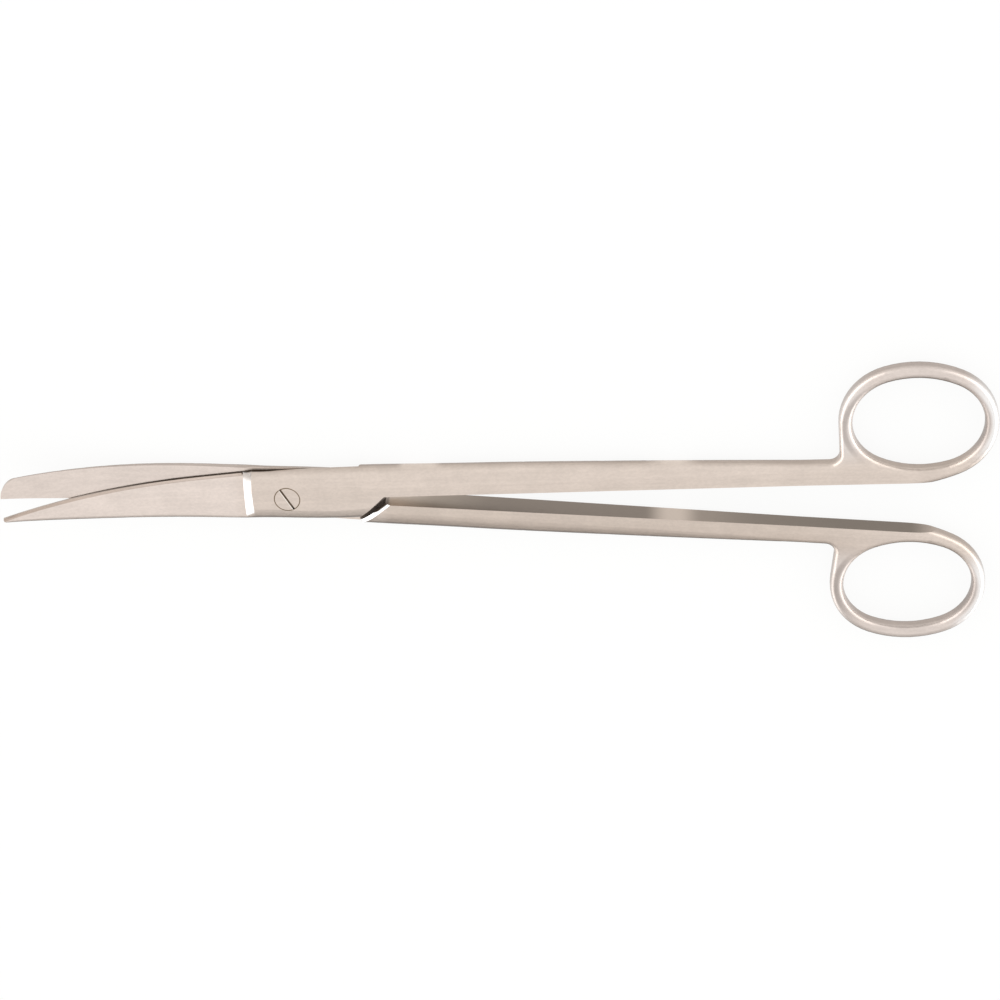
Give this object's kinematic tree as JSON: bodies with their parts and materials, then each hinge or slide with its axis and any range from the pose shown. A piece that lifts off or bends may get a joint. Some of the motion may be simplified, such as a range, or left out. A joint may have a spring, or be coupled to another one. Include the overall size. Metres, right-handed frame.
{
  "type": "uterine scissors",
  "caption": "Long-shanked surgical scissors curved on the flat, with a sharp and a blunt blade, a screwed lap joint and oval finger rings.",
  "frame": {"origin": "on the pivot axis, in the plane of the joint's underside on which the instrument lies", "axes": "+X from the pivot towards the finger rings along the middle line between the shanks, +Z along the pivot axis towards the screw head, +Y towards the ring of the front half"},
  "size_m": [0.2386, 0.0762, 0.0122],
  "materials": {
    "front_half_steel": "satin",
    "rear_half_steel": "satin",
    "screw_steel": "satin"
  },
  "bodies": {
    "rear_half": {"rear_half": "rear_half_steel", "pivot_screw": "screw_steel"},
    "front_half": {"front_half": "front_half_steel"}
  },
  "joints": [
    {"name": "pivot", "type": "hinge", "parent": "rear_half", "child": "front_half", "pos_m": [0, 0, 0], "axis": [0, 0, 1], "range_deg": [-5.2, 84.8]}
  ]
}
